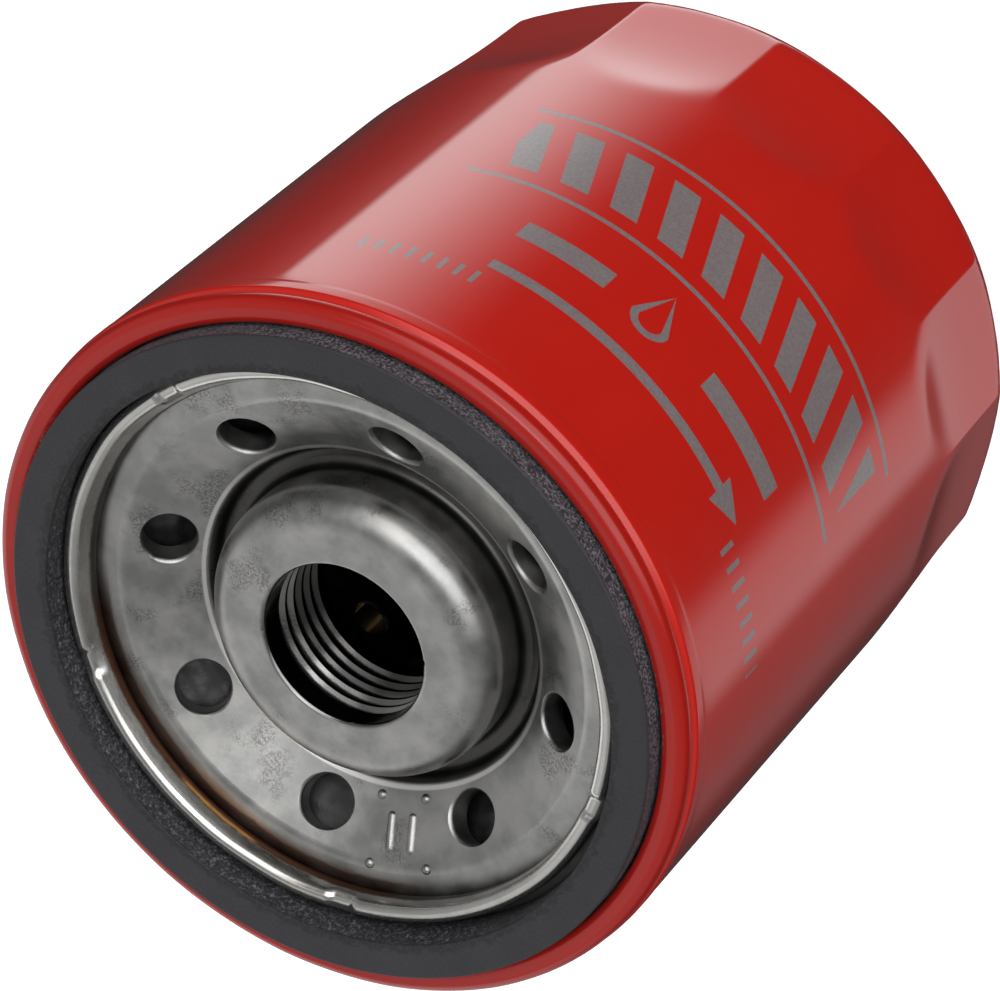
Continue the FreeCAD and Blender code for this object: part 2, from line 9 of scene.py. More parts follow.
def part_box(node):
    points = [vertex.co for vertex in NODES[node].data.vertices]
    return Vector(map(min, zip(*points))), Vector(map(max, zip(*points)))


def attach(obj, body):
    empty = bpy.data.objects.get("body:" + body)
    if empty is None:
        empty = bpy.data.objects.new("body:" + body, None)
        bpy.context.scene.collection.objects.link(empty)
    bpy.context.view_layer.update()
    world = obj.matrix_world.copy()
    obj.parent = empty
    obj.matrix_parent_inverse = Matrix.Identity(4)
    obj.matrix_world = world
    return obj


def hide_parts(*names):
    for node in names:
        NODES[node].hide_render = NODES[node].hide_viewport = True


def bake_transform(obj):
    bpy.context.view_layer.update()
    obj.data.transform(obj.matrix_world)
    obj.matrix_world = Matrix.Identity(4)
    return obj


# Looks of a spin-on oil filter, in metres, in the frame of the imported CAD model.
# The origin is the centre of the gasket's sealing face and +Z leaves the threaded end.
# Azimuths are in degrees, counter-clockwise from +X seen from +Z.
# An outline is a list of (radius, height) or (radius, height, corner radius).

MM = 0.001
SHEET = 0.5 * MM

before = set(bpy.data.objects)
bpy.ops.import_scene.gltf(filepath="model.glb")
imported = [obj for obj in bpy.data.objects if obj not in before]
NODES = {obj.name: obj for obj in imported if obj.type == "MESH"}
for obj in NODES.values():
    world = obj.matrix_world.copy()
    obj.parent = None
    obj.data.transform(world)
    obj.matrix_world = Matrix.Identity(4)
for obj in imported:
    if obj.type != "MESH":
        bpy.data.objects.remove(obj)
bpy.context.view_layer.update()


def top_of(node):
    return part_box(node)[1].z


def bottom_of(node):
    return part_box(node)[0].z


def radius_of(node):
    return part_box(node)[1].x


# Can: sizes that the CAD's boxes don't give
BAND_RADIUS = radius_of("can_shell")
CAN_RADIUS = BAND_RADIUS - 0.05 * MM
CAN_BOTTOM = bottom_of("can_shell")
SEAM_TOP = top_of("can_shell")
SEAM_INNER = 35.1 * MM
SEAM_OUTER = 37.85 * MM
SEAM_LEG = 2.65 * MM
GROOVE = SEAM_TOP - 1.87 * MM
BAND_END = SEAM_TOP - 3.65 * MM
DOME_RISE = 3.8 * MM
DOME_FLAT = 14.0 * MM
DOME_CORNER = 9.0 * MM

# Wrench flutes
FLUTES = 15
FLUTE_PHASE = 16.0
FLUTE_TOP = CAN_BOTTOM + 30.5 * MM
FLUTE_DEPTH = 1.4 * MM
FLUTE_FOOT = 5.6 * MM
FLUTE_SLOPE = 22.0
RIDGE_SOFTNESS = 0.16 * MM

# Gasket and the lid that holds it
GASKET_INNER = 31.0 * MM
GASKET_OUTER = radius_of("sealing_gasket")
GASKET_TOP = top_of("sealing_gasket")
GASKET_FLOOR = bottom_of("sealing_gasket")
LIP_TOP = -2.3 * MM
LIP_RADIUS = 30.2 * MM
LIP_WALL = 28.0 * MM
CRIMPS = 5
CRIMP_PHASE = 57.0


# ---------------------------------------------------------------- shader wiring


class Wiring:
    """Shorthand for wiring one shader tree. A value may be a number or another node's output."""

    def __init__(self, tree):
        self.tree = tree

    def join(self, socket, value):
        if isinstance(value, bpy.types.NodeSocket):
            self.tree.links.new(value, socket)
        else:
            socket.default_value = value

    def add(self, kind, inputs, **settings):
        node = self.tree.nodes.new(kind)
        for name, value in settings.items():
            setattr(node, name, value)
        for name, value in inputs.items():
            self.join(node.inputs[name], value)
        return node

    def math(self, operation, first, second=0.0):
        return self.add("ShaderNodeMath", {0: first, 1: second}, operation=operation).outputs[0]

    def total(self, *values):
        result = values[0]
        for value in values[1:]:
            result = self.math("ADD", result, value)
        return result

    def product(self, *values):
        result = values[0]
        for value in values[1:]:
            result = self.math("MULTIPLY", result, value)
        return result

    def largest(self, *values):
        result = values[0]
        for value in values[1:]:
            result = self.math("MAXIMUM", result, value)
        return result

    def smooth(self, value, low, high, start=0.0, end=1.0):
        """Smooth step from start to end while the value goes from low to high."""
        inputs = {0: value, 1: low, 2: high, 3: start, 4: end}
        return self.add("ShaderNodeMapRange", inputs, interpolation_type="SMOOTHSTEP").outputs[0]

    def dot(self, vector, direction):
        inputs = {0: vector, 1: Vector(direction).normalized()}
        return self.add("ShaderNodeVectorMath", inputs, operation="DOT_PRODUCT").outputs["Value"]

    def blend(self, factor, first, second):
        """Colour that goes from first to second as the factor goes from 0 to 1."""
        node = self.add("ShaderNodeMix", {0: factor}, data_type="RGBA")
        self.join(node.inputs[6], first)
        self.join(node.inputs[7], second)
        return node.outputs[2]


class Look(Wiring):
    """A material being built. Its coordinates are the part's own, in millimetres."""

    def __init__(self, name, colour, roughness, metallic=0.0):
        self.material = bpy.data.materials.new(name)
        self.material.use_nodes = True
        super().__init__(self.material.node_tree)
        self.shader = self.tree.nodes["Principled BSDF"]
        self.set("Base Color", colour)
        self.set("Roughness", roughness)
        self.set("Metallic", metallic)
        place = self.add("ShaderNodeTexCoord", {}).outputs["Object"]
        scaled = self.add("ShaderNodeVectorMath", {0: place, 3: 1 / MM}, operation="SCALE")
        self.place = scaled.outputs[0]
        parts = self.add("ShaderNodeSeparateXYZ", {0: self.place})
        self.x, self.y, self.z = parts.outputs
        self.radius = self.math("SQRT", self.total(self.product(self.x, self.x), self.product(self.y, self.y)))

    def set(self, name, value):
        if name == "Base Color" and not isinstance(value, bpy.types.NodeSocket):
            value = (*value, 1.0)
        self.join(self.shader.inputs[name], value)

    def noise(self, size, detail=3.0, roughness=0.55, stretch=None, distortion=0.0):
        """Noise from 0 to 1 whose patches are about the stated size in millimetres."""
        vector = self.place
        if stretch:
            vector = self.add("ShaderNodeVectorMath", {0: vector, 1: stretch}, operation="MULTIPLY").outputs[0]
        inputs = {"Vector": vector, "Scale": 1 / size, "Detail": detail, "Roughness": roughness}
        inputs["Distortion"] = distortion
        return self.add("ShaderNodeTexNoise", inputs).outputs[0]

    def cells(self, size, feature="F1", output="Distance", randomness=1.0):
        inputs = {"Vector": self.place, "Scale": 1 / size, "Randomness": randomness}
        return self.add("ShaderNodeTexVoronoi", inputs, feature=feature).outputs[output]

    def sector(self, middle, half, soft):
        """1 within half degrees of an azimuth, falling to 0 over the next soft degrees."""
        angle = math.radians(middle)
        along = self.total(self.product(self.x, math.cos(angle)), self.product(self.y, math.sin(angle)))
        cosine = self.math("DIVIDE", along, self.radius)
        return self.smooth(
            cosine, math.cos(math.radians(half + soft)), math.cos(math.radians(half))
        )

    def band(self, value, low, high, soft):
        """1 while the value is between low and high, with soft edges."""
        return self.product(
            self.smooth(value, low - soft, low + soft), self.smooth(value, high + soft, high - soft)
        )

    def bump(self, height, depth, name="Normal"):
        """Relief of the stated depth in millimetres where the height goes from 0 to 1."""
        node = self.add("ShaderNodeBump", {"Height": height, "Strength": 1.0, "Distance": depth * MM})
        self.set(name, node.outputs[0])


def colour(red, green, blue):
    """Linear colour from the usual 0 to 255 screen values."""
    return tuple(
        (value / 255 / 12.92) if value <= 10 else ((value / 255 + 0.055) / 1.055) ** 2.4
        for value in (red, green, blue)
    )


# ---------------------------------------------------------------- mesh helpers


def rounded(outline, closed=True, gap=None, turn=12.0):
    """Points along an outline, its corners rounded and its long runs split at the stated gap."""
    corners = [Vector(point[:2]) for point in outline]
    points = []
    last = len(outline) - 1
    for index, corner in enumerate(corners):
        reach = outline[index][2] if len(outline[index]) > 2 else 0
        if reach == 0 or (not closed and index in (0, last)):
            points.append(corner)
            continue
        incoming = (corners[index - 1] - corner).normalized()
        outgoing = (corners[(index + 1) % len(corners)] - corner).normalized()
        half = incoming.angle(outgoing) / 2
        centre = corner + (incoming + outgoing).normalized() * (reach / math.sin(half))
        first = corner + incoming * (reach / math.tan(half)) - centre
        second = corner + outgoing * (reach / math.tan(half)) - centre
        sweep = first.angle_signed(second)
        pieces = max(2, math.ceil(abs(math.degrees(sweep)) / turn))
        for piece in range(pieces + 1):
            points.append(centre + Matrix.Rotation(-sweep * piece / pieces, 2) @ first)
    if gap is None:
        return points
    filled = []
    for index, point in enumerate(points):
        filled.append(point)
        if closed or index < len(points) - 1:
            following = points[(index + 1) % len(points)]
            steps = math.ceil((following - point).length / gap)
            filled += [point.lerp(following, step / steps) for step in range(1, steps)]
    return filled


def new_piece(name, vertices, faces, crease=40.0):
    """Smooth-shaded mesh object, its doubled points merged and its faces turned outwards."""
    mesh = bpy.data.meshes.new(name)
    mesh.from_pydata(np.asarray(vertices).tolist(), [], np.asarray(faces).tolist())
    work = bmesh.new()
    work.from_mesh(mesh)
    bmesh.ops.remove_doubles(work, verts=work.verts, dist=1e-7)
    bmesh.ops.recalc_face_normals(work, faces=work.faces)
    work.to_mesh(mesh)
    work.free()
    mesh.shade_smooth()
    mesh.set_sharp_from_angle(angle=math.radians(crease))
    piece = bpy.data.objects.new(name, mesh)
    bpy.context.scene.collection.objects.link(piece)
    return piece


def grid_faces(rows, columns, wrap_rows, wrap_columns):
    """Quads of a grid of points numbered row by row."""
    row = np.arange(rows if wrap_rows else rows - 1)[:, None]
    column = np.arange(columns if wrap_columns else columns - 1)[None, :]
    next_row = (row + 1) % rows
    next_column = (column + 1) % columns
    corners = (
        row * columns + column,
        row * columns + next_column,
        next_row * columns + next_column,
        next_row * columns + column,
    )
    return np.stack(np.broadcast_arrays(*corners), -1).reshape(-1, 4)


def lathe(name, points, steps, closed=True, bend=None, crease=40.0):
    """Mesh of revolution. bend(angle, radius, height) may move its points."""
    outline = np.array([tuple(point) for point in points])
    angle = np.broadcast_to(np.arange(steps) * 2 * math.pi / steps, (len(outline), steps))
    radius = np.repeat(outline[:, :1], steps, axis=1)
    height = np.repeat(outline[:, 1:], steps, axis=1)
    if bend:
        radius, height = bend(angle, radius, height)
    vertices = np.stack((radius * np.cos(angle), radius * np.sin(angle), height), -1)
    faces = grid_faces(len(outline), steps, closed, True)
    return new_piece(name, vertices.reshape(-1, 3), faces, crease)


def waves(angle, seed, lowest, highest, count=9):
    """Smooth random ripple round the axis, from about -1 to 1, with whole waves per turn."""
    source = np.random.default_rng(seed)
    result = np.zeros_like(angle)
    for _ in range(count):
        turns = source.integers(lowest, highest)
        result = result + np.sin(turns * angle + source.uniform(0, 2 * math.pi)) / math.sqrt(count)
    return result


def wire_coil(name, path, wire_radius, sides=14):
    """Round wire along a path of points, its ends closed."""
    path = np.array(path)
    tangent = np.gradient(path, axis=0)
    tangent /= np.linalg.norm(tangent, axis=1)[:, None]
    outward = path * (1, 1, 0)
    outward -= tangent * np.sum(outward * tangent, axis=1)[:, None]
    outward /= np.linalg.norm(outward, axis=1)[:, None]
    upward = np.cross(tangent, outward)
    turn = np.arange(sides) * 2 * math.pi / sides
    ring = (
        outward[:, None, :] * np.cos(turn)[None, :, None]
        + upward[:, None, :] * np.sin(turn)[None, :, None]
    )
    size = np.full(len(path), wire_radius)
    size[[0, -1]] = wire_radius * 0.6
    vertices = (path[:, None, :] + ring * size[:, None, None]).reshape(-1, 3)
    count = len(vertices)
    vertices = np.vstack((vertices, path[:1], path[-1:]))
    faces = grid_faces(len(path), sides, False, True).tolist()
    for side in range(sides):
        following = (side + 1) % sides
        faces.append([count, following, side])
        faces.append([count + 1, count - sides + side, count - sides + following])
    mesh = bpy.data.meshes.new(name)
    mesh.from_pydata(vertices.tolist(), [], faces)
    mesh.shade_smooth()
    mesh.set_sharp_from_angle(angle=math.radians(50))
    piece = bpy.data.objects.new(name, mesh)
    bpy.context.scene.collection.objects.link(piece)
    return piece


def spring_path(coil_radius, wire_radius, low, high, turns):
    """Centre line of a compression spring with one closed turn at each end."""
    low += wire_radius
    high -= wire_radius
    closed_rise = 2.1 * wire_radius
    pitch = (high - low - 2 * closed_rise) / (turns - 2)
    turn = np.linspace(0, turns, int(turns * 48) + 1)
    height = np.interp(
        turn,
        [0, 1, turns - 1, turns],
        [low, low + closed_rise, low + closed_rise + pitch * (turns - 2), high],
    )
    angle = 2 * math.pi * turn
    return np.stack((coil_radius * np.cos(angle), coil_radius * np.sin(angle), height), -1)


def thicken(piece, thickness, offset=-1.0):
    """Sheet of the stated thickness from an open surface."""
    sheet = piece.modifiers.new("sheet", "SOLIDIFY")
    sheet.thickness = thickness
    sheet.offset = offset
    sheet.use_even_offset = True


def dress(piece, material):
    piece.data.materials.clear()
    piece.data.materials.append(material)


def stand_for(piece, node, look, body=None):
    """Puts a finished piece in a CAD node's place, with a material and the node's body."""
    dress(piece, look)
    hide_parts(node)
    if body:
        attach(piece, body)


# ---------------------------------------------------------------- print on the can


def in_box(look, across, along, middle, half):
    """1 inside a rectangle, given its middle and half sizes in millimetres."""
    edge = 0.06
    masks = []
    for value, centre, size in zip((across, along), middle, half):
        distance = look.math("ABSOLUTE", look.math("SUBTRACT", value, centre))
        masks.append(look.smooth(distance, size + edge, size - edge))
    return look.product(*masks)


def printed_band(look, across, along):
    """Two long rules with a row of slanted bars between them."""
    middle, half_length, half_height = -41.0, 27.5, 7.4
    rule, bar_half, pitch, slant = 0.32, 4.9, 5.6, 0.32
    rules = [
        in_box(look, across, along, (0.0, middle + side * half_height), (half_length, rule))
        for side in (-1, 1)
    ]
    leaning = look.total(across, look.product(along, slant))
    phase = look.math("PINGPONG", leaning, pitch / 2)
    bars = look.product(
        look.smooth(phase, pitch * 0.29, pitch * 0.27),
        in_box(look, across, along, (0.0, middle), (half_length - 1.6, bar_half)),
    )
    return look.largest(bars, *rules)


def printed_drop(look, across, along, middle, size):
    """Outline of an oil drop with its point towards the closed end."""
    side = look.math("SUBTRACT", across, middle[0])
    up = look.math("SUBTRACT", middle[1], along)
    distance = look.math("SQRT", look.total(look.product(side, side), look.product(up, up)))
    taper = look.math("SUBTRACT", 1.0, look.math("DIVIDE", up, size * 2.4))
    cone = look.math("DIVIDE", look.math("ABSOLUTE", side), look.math("MAXIMUM", taper, 0.001))
    upper = look.math("GREATER_THAN", up, 0.0)
    reach = look.total(
        look.product(cone, upper), look.product(distance, look.math("SUBTRACT", 1.0, upper))
    )
    filled = look.smooth(reach, size + 0.06, size - 0.06)
    hollow = look.smooth(reach, size * 0.62 + 0.06, size * 0.62 - 0.06)
    return look.math("SUBTRACT", filled, hollow)


def printed_arrow(look, across, along, level):
    """Long arrow that points the way the filter is tightened."""
    tail, neck, tip, half_width, head_half = 17.0, -14.0, -18.0, 0.75, 2.3
    shaft = in_box(look, across, along, ((tail + neck) / 2, level), ((tail - neck) / 2, half_width))
    from_tip = look.math("SUBTRACT", across, tip)
    half_here = look.product(from_tip, head_half / (neck - tip))
    off_line = look.math("ABSOLUTE", look.math("SUBTRACT", along, level))
    inside = look.smooth(look.math("SUBTRACT", half_here, off_line), -0.05, 0.05)
    head = look.product(inside, in_box(look, across, along, ((neck + tip) / 2, level), (2.0, 3.0)))
    return look.largest(shaft, head)


def printed_ticks(look, across, along, middle, half_length, half_height, pitch):
    """Row of short upright ticks."""
    phase = look.math("PINGPONG", across, pitch / 2)
    strokes = look.smooth(phase, pitch * 0.17, pitch * 0.13)
    return look.product(strokes, in_box(look, across, along, middle, (half_length, half_height)))


def print_mask(look):
    """1 where the grey print lies. It holds no letters, only plain marks."""
    across = look.product(
        look.total(look.math("ARCTAN2", look.y, look.x), math.pi / 2), CAN_RADIUS / MM
    )
    along = look.z
    dash_level, arrow_level = -26.0, -18.6
    marks = [
        printed_band(look, across, along),
        printed_drop(look, across, along, (2.0, dash_level + 0.7), 2.3),
        printed_arrow(look, across, along, arrow_level),
        printed_ticks(look, across, along, (-25.5, -15.8), 6.8, 1.3, 1.9),
        printed_ticks(look, across, along, (23.3, -15.4), 7.0, 1.1, 1.7),
    ]
    for middle, half in ((-12.0, 6.4), (12.5, 5.0)):
        marks.append(in_box(look, across, along, (middle, dash_level), (half, 1.5)))
    return look.largest(*marks)


# ---------------------------------------------------------------- materials


def red_paint():
    """Glossy red enamel with fine orange peel, grey print, painted shade darkening the seam's top, and wear
    along the seam.
    """
    look = Look("red_enamel", colour(198, 26, 16), 0.32)
    speckle = look.noise(0.35, detail=2.0)
    shade = look.noise(14.0, detail=2.0)
    paint = look.blend(shade, (*colour(196, 24, 14), 1), (*colour(206, 34, 20), 1))
    ink = look.blend(speckle, (*colour(112, 100, 102), 1), (*colour(148, 138, 138), 1))
    printed = look.product(print_mask(look), look.smooth(speckle, 0.1, 0.42, 0.72, 1.0))
    painted = look.blend(printed, paint, ink)
    # Painted shade: the seam's top is painted a darker red.
    seam_top = look.smooth(look.z, -3.7, -2.6)
    body = look.blend(look.product(seam_top, 0.75), painted, (*colour(156, 20, 12), 1))
    chipped = look.smooth(look.noise(0.8, detail=5.0, roughness=0.7), 0.5, 0.58)
    inner_edge = look.band(look.radius, 34.9, 35.62, 0.12)
    worn_sectors = look.largest(look.sector(238, 13, 12), look.sector(22, 8, 8))
    worn = look.product(chipped, inner_edge, worn_sectors)
    look.set("Base Color", look.blend(worn, body, (*colour(120, 108, 104), 1)))
    seam = look.smooth(look.z, -8.0, -5.6)
    look.set("Roughness", look.total(look.smooth(seam, 0, 1, 0.3, 0.4), look.product(printed, 0.12)))
    look.set("Specular IOR Level", 0.12)
    look.set("Coat Weight", look.smooth(look.largest(worn, look.product(seam_top, 0.4)), 0, 1, 1.0, 0.2))
    look.set("Coat Roughness", look.smooth(seam, 0, 1, 0.05, 0.12))
    peel = look.total(
        look.product(look.noise(1.6, detail=2.0), 1.0),
        look.product(look.noise(0.45, detail=2.0), look.smooth(seam, 0, 1, 0.15, 1.6)),
    )
    look.bump(peel, 0.006)
    return look.material


def gasket_rubber():
    """Charcoal rubber: fine moulded stipple, dusty tone, stippled side walls painted pale as painted light,
    and a few flecks.
    """
    look = Look("gasket_rubber", colour(50, 49, 52), 0.6)
    stipple = look.noise(0.28, detail=4.0, roughness=0.7)
    dust = look.noise(6.0, detail=4.0)
    # Painted light: the stippled side walls are painted a paler grey; the stipple itself is the rubber's
    # moulded skin.
    wall = look.smooth(look.z, -0.15, -0.5)
    base = look.blend(dust, (*colour(38, 38, 41), 1), (*colour(54, 53, 57), 1))
    stipple_with_painted_light = look.blend(look.smooth(stipple, 0.42, 0.66), base, (*colour(120, 118, 124), 1))
    walls_with_painted_light = look.blend(wall, base, stipple_with_painted_light)
    ragged = look.total(look.radius, look.product(look.noise(1.4, detail=4.0), 2.6))
    rubbed = look.product(look.smooth(ragged, 33.4, 32.9), look.smooth(look.noise(0.5), 0.3, 0.55))
    mixed = look.blend(look.product(rubbed, 0.75), walls_with_painted_light, (*colour(24, 24, 26), 1))
    fleck = look.product(
        look.smooth(look.cells(9.0), 0.055, 0.035), look.smooth(look.noise(11.0), 0.52, 0.6)
    )
    look.set("Base Color", look.blend(fleck, mixed, (*colour(176, 170, 160), 1)))
    look.set("Roughness", look.smooth(stipple, 0.3, 0.7, 0.5, 0.72))
    look.set("Specular IOR Level", 0.45)
    look.bump(look.total(stipple, look.product(look.noise(2.4), 0.6)), 0.035)
    return look.material


def plate_steel():
    """Thick pressed steel: satin grey, pitted in patches, with a painted highlight on the ring's rolled edge
    and painted shade in the thread and the valley.
    """
    look = Look("plate_steel", colour(150, 150, 148), 0.36, 1.0)
    clouds = look.noise(4.2, detail=5.0, roughness=0.58)
    pits = look.noise(0.24, detail=3.0, roughness=0.6)
    pitted = look.product(
        look.smooth(look.noise(6.0, detail=3.0), 0.54, 0.66), look.smooth(pits, 0.44, 0.56)
    )
    base = look.blend(
        look.smooth(clouds, 0.3, 0.7), (*colour(152, 152, 151), 1), (*colour(182, 181, 178), 1)
    )
    marked = look.blend(look.product(pitted, 0.6), base, (*colour(100, 99, 99), 1))
    # Painted highlight: a near-white band along the ring's rolled edge.
    painted_edge_highlight = look.product(
        look.band(look.radius, 18.42, 18.98, 0.1), look.smooth(look.z, -10.3, -10.0)
    )
    with_edge_highlight = look.blend(painted_edge_highlight, marked, (*colour(236, 235, 232), 1))
    # Painted shade: the thread in the bore and the valley floor are painted darker.
    in_bore = look.product(look.smooth(look.radius, 9.75, 9.6), look.smooth(look.z, -4.2, -4.3))
    in_valley = look.smooth(look.z, -10.1, -11.0)
    dark = look.largest(look.product(in_bore, 0.4), look.product(in_valley, 0.85))
    with_painted_shade = look.blend(dark, with_edge_highlight, (*colour(54, 52, 51), 1))
    deposit = look.product(
        look.smooth(look.total(look.radius, look.product(clouds, 1.6)), 28.0, 28.5),
        look.sector(92, 44, 12),
    )
    look.set("Base Color", look.blend(look.product(deposit, 0.7), with_painted_shade, (*colour(82, 58, 42), 1)))
    rough = look.total(look.smooth(clouds, 0.3, 0.7, 0.28, 0.38), look.product(pits, 0.08))
    look.set("Roughness", look.smooth(in_bore, 0, 1, rough, 0.16))
    relief = look.total(look.product(clouds, 0.5), look.product(pits, 0.5))
    look.bump(relief, 0.014)
    return look.material


def lid_steel():
    """Bright thin steel with rolling marks; painted shade at the foot of its lip all round, and a brown
    deposit there on one side.
    """
    look = Look("lid_steel", colour(200, 199, 195), 0.22, 1.0)
    streak = look.noise(0.9, detail=4.0, stretch=(1, 1, 3))
    patches = look.noise(3.0, detail=5.0, roughness=0.6)
    base = look.blend(patches, (*colour(186, 185, 182), 1), (*colour(214, 213, 209), 1))
    flecks = look.product(
        look.sector(118, 7, 5), look.smooth(look.noise(0.5, detail=2.0), 0.62, 0.68)
    )
    worn = look.blend(flecks, base, (*colour(206, 190, 156), 1))
    # Painted shade: the foot of the wall, in the gap above the plate, is painted dark all round.
    foot = look.smooth(look.total(look.z, look.product(patches, 0.5)), -3.55, -3.95)
    stained = look.product(foot, look.sector(92, 40, 14))
    dark = look.blend(look.product(foot, 0.85), worn, (*colour(50, 47, 45), 1))
    brown = look.blend(look.product(stained, 0.8), dark, (*colour(104, 62, 36), 1))
    streaked = look.product(stained, look.sector(97, 7, 4), look.smooth(look.z, -4.5, -4.2))
    look.set("Base Color", look.blend(streaked, brown, (*colour(226, 166, 96), 1)))
    look.set("Roughness", look.total(look.smooth(streak, 0.3, 0.7, 0.16, 0.26), look.product(foot, 0.2)))
    look.bump(look.total(streak, look.product(patches, 0.8)), 0.006)
    return look.material


def black_rubber():
    """Satin black rubber with an oily bloom."""
    look = Look("valve_rubber", colour(24, 24, 26), 0.42)
    bloom = look.noise(2.2, detail=4.0)
    look.set("Base Color", look.blend(bloom, (*colour(16, 16, 18), 1), (*colour(40, 40, 43), 1)))
    look.set("Roughness", look.smooth(bloom, 0.35, 0.65, 0.3, 0.55))
    look.bump(look.noise(0.3, detail=3.0), 0.02)
    return look.material


def pressed_steel(name, tone, warm=0):
    """Thin pressed steel with cloudy spangle and fine drawing lines."""
    look = Look(name, colour(tone, tone, tone), 0.34, 1.0)
    spangle = look.cells(3.2, output="Color")
    grey = look.add("ShaderNodeRGBToBW", {0: spangle}).outputs[0]
    mottled = look.total(look.product(grey, 0.6), look.product(look.noise(1.2, detail=4.0), 0.4))
    dark = (*colour(tone - 26 + warm, tone - 26, tone - 28 - warm), 1)
    pale = (*colour(tone + 22 + warm, tone + 22, tone + 20 - warm), 1)
    look.set("Base Color", look.blend(mottled, dark, pale))
    look.set("Roughness", look.smooth(mottled, 0.3, 0.7, 0.26, 0.44))
    look.bump(look.noise(0.4, detail=3.0, stretch=(1, 1, 4)), 0.01)
    return look.material


def spring_wire():
    """Dark oil-tempered wire with fine surface grain and rubbed bright spots."""
    look = Look("spring_wire", colour(92, 90, 92), 0.32, 1.0)
    rubbed = look.noise(1.4, detail=4.0)
    look.set("Base Color", look.blend(rubbed, (*colour(62, 60, 62), 1), (*colour(140, 138, 138), 1)))
    look.set("Roughness", look.smooth(rubbed, 0.35, 0.65, 0.42, 0.24))
    look.bump(look.noise(0.18, detail=2.0), 0.008)
    return look.material


def pleat_paper():
    """Resin-treated filter paper: warm fibres, tiny embossed dots and darker patches."""
    look = Look("pleat_paper", colour(196, 160, 96), 0.82)
    fibres = look.noise(0.5, detail=6.0, roughness=0.75, stretch=(1, 1, 0.5))
    tint = look.noise(5.0, detail=2.0)
    base = look.blend(fibres, (*colour(168, 130, 72), 1), (*colour(222, 190, 128), 1))
    look.set("Base Color", look.blend(look.product(tint, 0.35), base, (*colour(150, 104, 52), 1)))
    dots = look.smooth(look.cells(0.8, randomness=0.2), 0.3, 0.1)
    look.bump(look.total(fibres, look.product(dots, 0.6)), 0.04)
    look.set("Sheen Weight", 0.15)
    return look.material


def cured_potting():
    """Cured potting compound: greenish tan, with bubbles and cloudy mixing marks."""
    look = Look("cured_potting", colour(150, 132, 92), 0.5)
    swirl = look.noise(3.5, detail=5.0, distortion=1.2)
    look.set("Base Color", look.blend(swirl, (*colour(122, 106, 70), 1), (*colour(176, 158, 114), 1)))
    bubbles = look.smooth(look.cells(1.3), 0.22, 0.05)
    look.set("Roughness", look.smooth(swirl, 0.3, 0.7, 0.38, 0.6))
    look.bump(look.total(look.product(bubbles, -1.0), look.product(swirl, 0.7)), 0.05)
    return look.material


def seam_compound():
    """Dull brown sealing compound, slightly grainy."""
    look = Look("seam_compound", colour(112, 92, 70), 0.7)
    grain = look.noise(0.4, detail=4.0)
    look.set("Base Color", look.blend(grain, (*colour(88, 70, 52), 1), (*colour(138, 116, 90), 1)))
    look.bump(grain, 0.04)
    return look.material


# ---------------------------------------------------------------- pieces


def flute_bound(height):
    """How far a wrench flute's middle is from the axis at a height."""
    foot = CAN_BOTTOM + FLUTE_FOOT
    flat = CAN_RADIUS - FLUTE_DEPTH
    fade = np.clip((height - foot) / (FLUTE_TOP - foot), 0, 1)
    body = flat + (FLUTE_DEPTH + 0.5 * MM) * fade**4 + 0.25 * MM * fade
    return body + np.minimum(height - foot, 0) / math.tan(math.radians(FLUTE_SLOPE))


def softly_least(first, second, softness):
    """The smaller of two lengths, rounded over where they cross."""
    gap = np.clip((second - first) / softness, -40, 40)
    return first - softness * np.log1p(np.exp(-gap))


def can_piece():
    """Drawn can: one sheet from the closed end, up the wall and over the rolled seam."""
    outline = [
        (0.0, CAN_BOTTOM),
        (DOME_FLAT, CAN_BOTTOM, DOME_CORNER),
        (CAN_RADIUS, CAN_BOTTOM + DOME_RISE, DOME_CORNER),
        (CAN_RADIUS, BAND_END - 0.5 * MM, 0.4 * MM),
        (BAND_RADIUS, BAND_END, 0.5 * MM),
        (BAND_RADIUS, GROOVE - 0.45 * MM, 0.55 * MM),
        (SEAM_OUTER - 0.35 * MM, GROOVE, 0.1 * MM),
        (SEAM_OUTER, GROOVE + 0.45 * MM, 0.3 * MM),
        (SEAM_OUTER, SEAM_TOP, 1.2 * MM),
        (SEAM_INNER, SEAM_TOP, 0.9 * MM),
        (SEAM_INNER, SEAM_TOP - SEAM_LEG),
    ]

    def bend(angle, radius, height):
        bearing = angle - math.radians(FLUTE_PHASE)
        step = 2 * math.pi / FLUTES
        off_middle = (bearing + step / 2) % step - step / 2
        bound = flute_bound(height) / np.cos(off_middle)
        fluted = softly_least(radius, bound, RIDGE_SOFTNESS)
        in_flutes = np.clip((FLUTE_TOP + 2 * MM - height) / (4 * MM), 0, 1)
        outer = np.clip((radius - DOME_FLAT) / (10 * MM), 0, 1)
        share = in_flutes * outer
        moved = radius * (1 - share) + np.minimum(fluted, radius) * share
        seam_share = np.clip((height - BAND_END + 1 * MM) / (2 * MM), 0, 1)
        ripple = waves(angle, 3, 2, 14) * 0.03 * MM * seam_share
        return moved - np.abs(ripple) * (radius > SEAM_INNER + SHEET), height

    points = rounded(outline, closed=False, gap=1.0 * MM, turn=9.0)
    piece = lathe("can_body", points, 720, closed=False, bend=bend, crease=180.0)
    thicken(piece, SHEET)
    return piece


